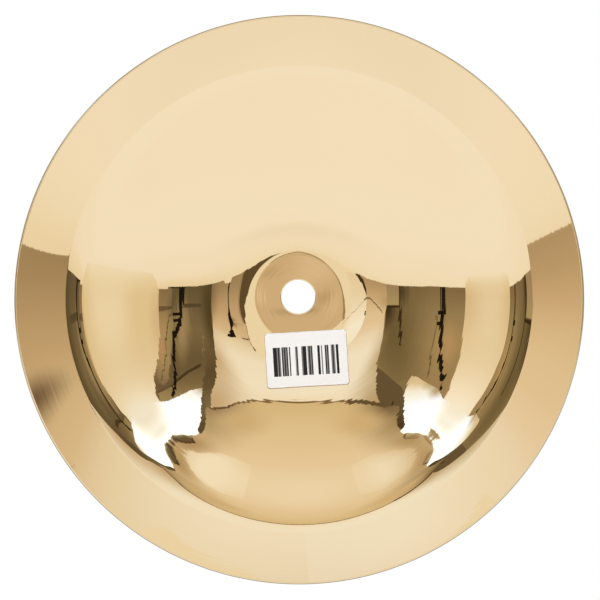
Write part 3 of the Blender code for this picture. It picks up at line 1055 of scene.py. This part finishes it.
    studio.plain("cloth_edge_left", [
        (-0.4015, -0.053), (-0.381, -0.066), (-0.346, -0.113), (-0.285, -0.157), (-0.315, -0.167),
        (-0.367, -0.143), (-0.397, -0.095),
    ], (0.06, 0.04, 0.018))
    studio.plain("stand_pole", [
        (0.437, -0.135), (0.460, -0.11), (0.452, -0.06), (0.454, 0.01), (0.462, 0.06), (0.462, 0.10),
        (0.462, 0.14), (0.472, 0.17), (0.442, 0.16), (0.424, 0.13), (0.410, 0.10), (0.422, 0.08),
        (0.425, 0.05), (0.432, 0.01), (0.432, -0.06), (0.432, -0.10), (0.420, -0.13),
    ], BLACK, STAND_DISTANCE)
    studio.plain("stand_clamp", [
        (0.472, 0.165), (0.492, 0.19), (0.512, 0.20), (0.492, 0.21), (0.532, 0.22), (0.552, 0.24),
        (0.542, 0.25), (0.492, 0.24), (0.422, 0.22), (0.422, 0.21), (0.432, 0.19), (0.432, 0.165),
    ], BLACK, STAND_DISTANCE)
    studio.strip("stand_wire", [(0.365, 0.212), (0.346, 0.214), (0.290, 0.200)], 0.009, DARK_BROWN)
    studio.plain("stand_arm_left", box_corners(0.322, 0.415, 0.102, 0.116), (0.62, 0.49, 0.33))
    studio.strip("cable", [
        (-0.33, -0.030), (-0.37, -0.040), (-0.42, -0.040), (-0.47, -0.020), (-0.54, 0.010),
        (-0.60, 0.040), (-0.66, 0.075),
    ], 0.010, (0.22, 0.16, 0.09), CABLE_DISTANCE)
    studio.card("lens", [
        (0.060, 0.030), (0.060, -0.060), (0.030, -0.100), (0.010, -0.130), (0.0, -0.110), (-0.010, -0.080),
        (-0.012, -0.060), (-0.022, -0.052), (-0.050, -0.050), (-0.090, -0.030), (-0.120, 0.0),
        (-0.135, 0.030), (-0.100, 0.050), (-0.060, 0.050),
    ], [
        (-0.060, (0.70, 0.56, 0.40)),
        (-0.010, (0.70, 0.56, 0.40)),
    ], [
        ((0.0174, -0.0241), (0.010, 0.008), (0.80, 0.65, 0.50)),
        ((0.0265, -0.0410), (0.008, 0.010), (0.76, 0.61, 0.45)),
        ((0.0022, -0.0235), (0.009, 0.004), (0.56, 0.42, 0.28)),
        ((-0.001, -0.035), (0.004, 0.009), (0.90, 0.75, 0.55)),
        ((0.0105, -0.043), (0.010, 0.003), (0.50, 0.39, 0.26)),
        ((0.0157, -0.0416), (0.006, 0.0035), (0.36, 0.27, 0.18)),
        ((0.021, -0.036), (0.005, 0.006), (0.56, 0.43, 0.28)),
    ])
    studio.strip("lens_edge", [
        (-0.140, 0.040), (-0.120, 0.0), (-0.090, -0.030), (-0.050, -0.052), (-0.022, -0.055),
        (-0.012, -0.062), (-0.010, -0.080), (0.0, -0.110), (0.010, -0.130), (0.034, -0.100), (0.050, -0.075),
    ], 0.018, (0.36, 0.28, 0.17))


def floor(rim_radius):
    """A pale floor with a round opening under the mouth, which is not seen from below."""
    inner = rim_radius - RIM_CONTACT_INSET
    outer = 4.0
    steps = 180
    points = []
    for radius in (inner, outer):
        for step in range(steps):
            angle = math.tau * step / steps
            points.append((radius * math.cos(angle), radius * math.sin(angle), 0.0))
    faces = []
    for step in range(steps):
        after = (step + 1) % steps
        faces.append((step, steps + step, steps + after, after))
    mesh = bpy.data.meshes.new("floor")
    mesh.from_pydata(points, [], faces)
    nodes = Nodes("pale_floor")
    paint = nodes.add("ShaderNodeBsdfDiffuse")
    paint.inputs["Color"].default_value = (0.86, 0.86, 0.86, 1.0)
    clear = nodes.add("ShaderNodeBsdfTransparent")
    side = nodes.add("ShaderNodeNewGeometry")
    path = nodes.add("ShaderNodeLightPath")
    near = nodes.math("LESS_THAN", path.outputs["Ray Length"], FLOOR_NEAR)
    mirrored = nodes.math("MULTIPLY", near, path.outputs["Is Glossy Ray"])
    mix = nodes.add("ShaderNodeMixShader")
    nodes.join(nodes.math("MAXIMUM", side.outputs["Backfacing"], mirrored), mix.inputs[0])
    nodes.join(paint.outputs[0], mix.inputs[1])
    nodes.join(clear.outputs[0], mix.inputs[2])
    nodes.join(mix.outputs[0], nodes.out.inputs["Surface"])
    mesh.materials.append(nodes.material)
    thing = link(bpy.data.objects.new("floor", mesh))


def lamp(name, place, size, power, aim=(0.0, 0.0, 0.02), glossy=True):
    """A square soft lamp aimed at a point."""
    data = bpy.data.lights.new(name, "AREA")
    data.shape = "SQUARE"
    data.size = size
    data.energy = power
    thing = link(bpy.data.objects.new(name, data))
    thing.location = place
    thing.rotation_euler = (Vector(aim) - Vector(place)).to_track_quat("-Z", "Y").to_euler()
    thing.visible_camera = False
    thing.visible_glossy = glossy
    return thing


def world():
    """White for the camera, a soft grey sky for everything else."""
    sky = bpy.data.worlds.new("studio_air")
    sky.use_nodes = True
    tree = sky.node_tree
    tree.nodes.clear()
    out = tree.nodes.new("ShaderNodeOutputWorld")
    mix = tree.nodes.new("ShaderNodeMixShader")
    path = tree.nodes.new("ShaderNodeLightPath")
    seen = tree.nodes.new("ShaderNodeBackground")
    seen.inputs["Color"].default_value = (1.0, 1.0, 1.0, 1.0)
    air = tree.nodes.new("ShaderNodeBackground")
    air.inputs["Color"].default_value = (0.72, 0.70, 0.67, 1.0)
    tree.links.new(path.outputs["Is Camera Ray"], mix.inputs[0])
    tree.links.new(air.outputs[0], mix.inputs[1])
    tree.links.new(seen.outputs[0], mix.inputs[2])
    tree.links.new(mix.outputs[0], out.inputs[0])
    bpy.context.scene.world = sky


def camera(rim_radius):
    """Looks up along the axis from below, a little off it, with -Y at the top of the image."""
    data = bpy.data.cameras.new("camera")
    data.sensor_width = SENSOR
    span = rim_radius / RIM_RADIUS_PIXELS * FRAME_PIXELS
    data.lens = SENSOR * CAMERA_DISTANCE / span
    middle = FRAME_PIXELS / 2
    data.shift_x = (middle - RIM_CENTRE_PIXELS[0]) / FRAME_PIXELS
    data.shift_y = (RIM_CENTRE_PIXELS[1] - middle) / FRAME_PIXELS
    place = Vector((
        -CAMERA_DISTANCE * math.tan(CAMERA_LEFT_ANGLE),
        -CAMERA_DISTANCE * math.tan(CAMERA_UP_ANGLE),
        -CAMERA_DISTANCE,
    ))
    ahead = -place.normalized()
    right = ahead.cross(Vector((0.0, -1.0, 0.0))).normalized()
    up = right.cross(ahead)
    turn = Matrix((right, up, -ahead)).transposed().to_4x4()
    thing = link(bpy.data.objects.new("camera", data))
    thing.matrix_world = Matrix.Translation(place) @ turn
    bpy.context.scene.camera = thing


def main():
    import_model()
    low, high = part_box("cymbal")
    rim_radius = (high[0] - low[0]) / 2
    hub_top = high[2]

    cymbal = make_cymbal(rim_radius, hub_top)
    cymbal.data.materials.append(bronze())
    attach(cymbal, "root")
    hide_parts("cymbal")

    label = make_label(underside(0.0, rim_radius), hub_top - BOWL_THICKNESS)
    label.data.materials.append(label_paper())
    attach(label, "root")
    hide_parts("label")

    below = Studio("below", -1)
    furnish(below)
    clutter(below)
    furnish(Studio("above", 1))
    floor(rim_radius)
    lamp("paper_fill", (0.0, -0.5, -2.0), 1.2, 9.0, glossy=False)
    lamp("key_above", (0.9, -1.2, 1.6), 1.0, 14.0, glossy=False)
    world()
    camera(rim_radius)
    bpy.context.scene.view_settings.view_transform = "Standard"


main()
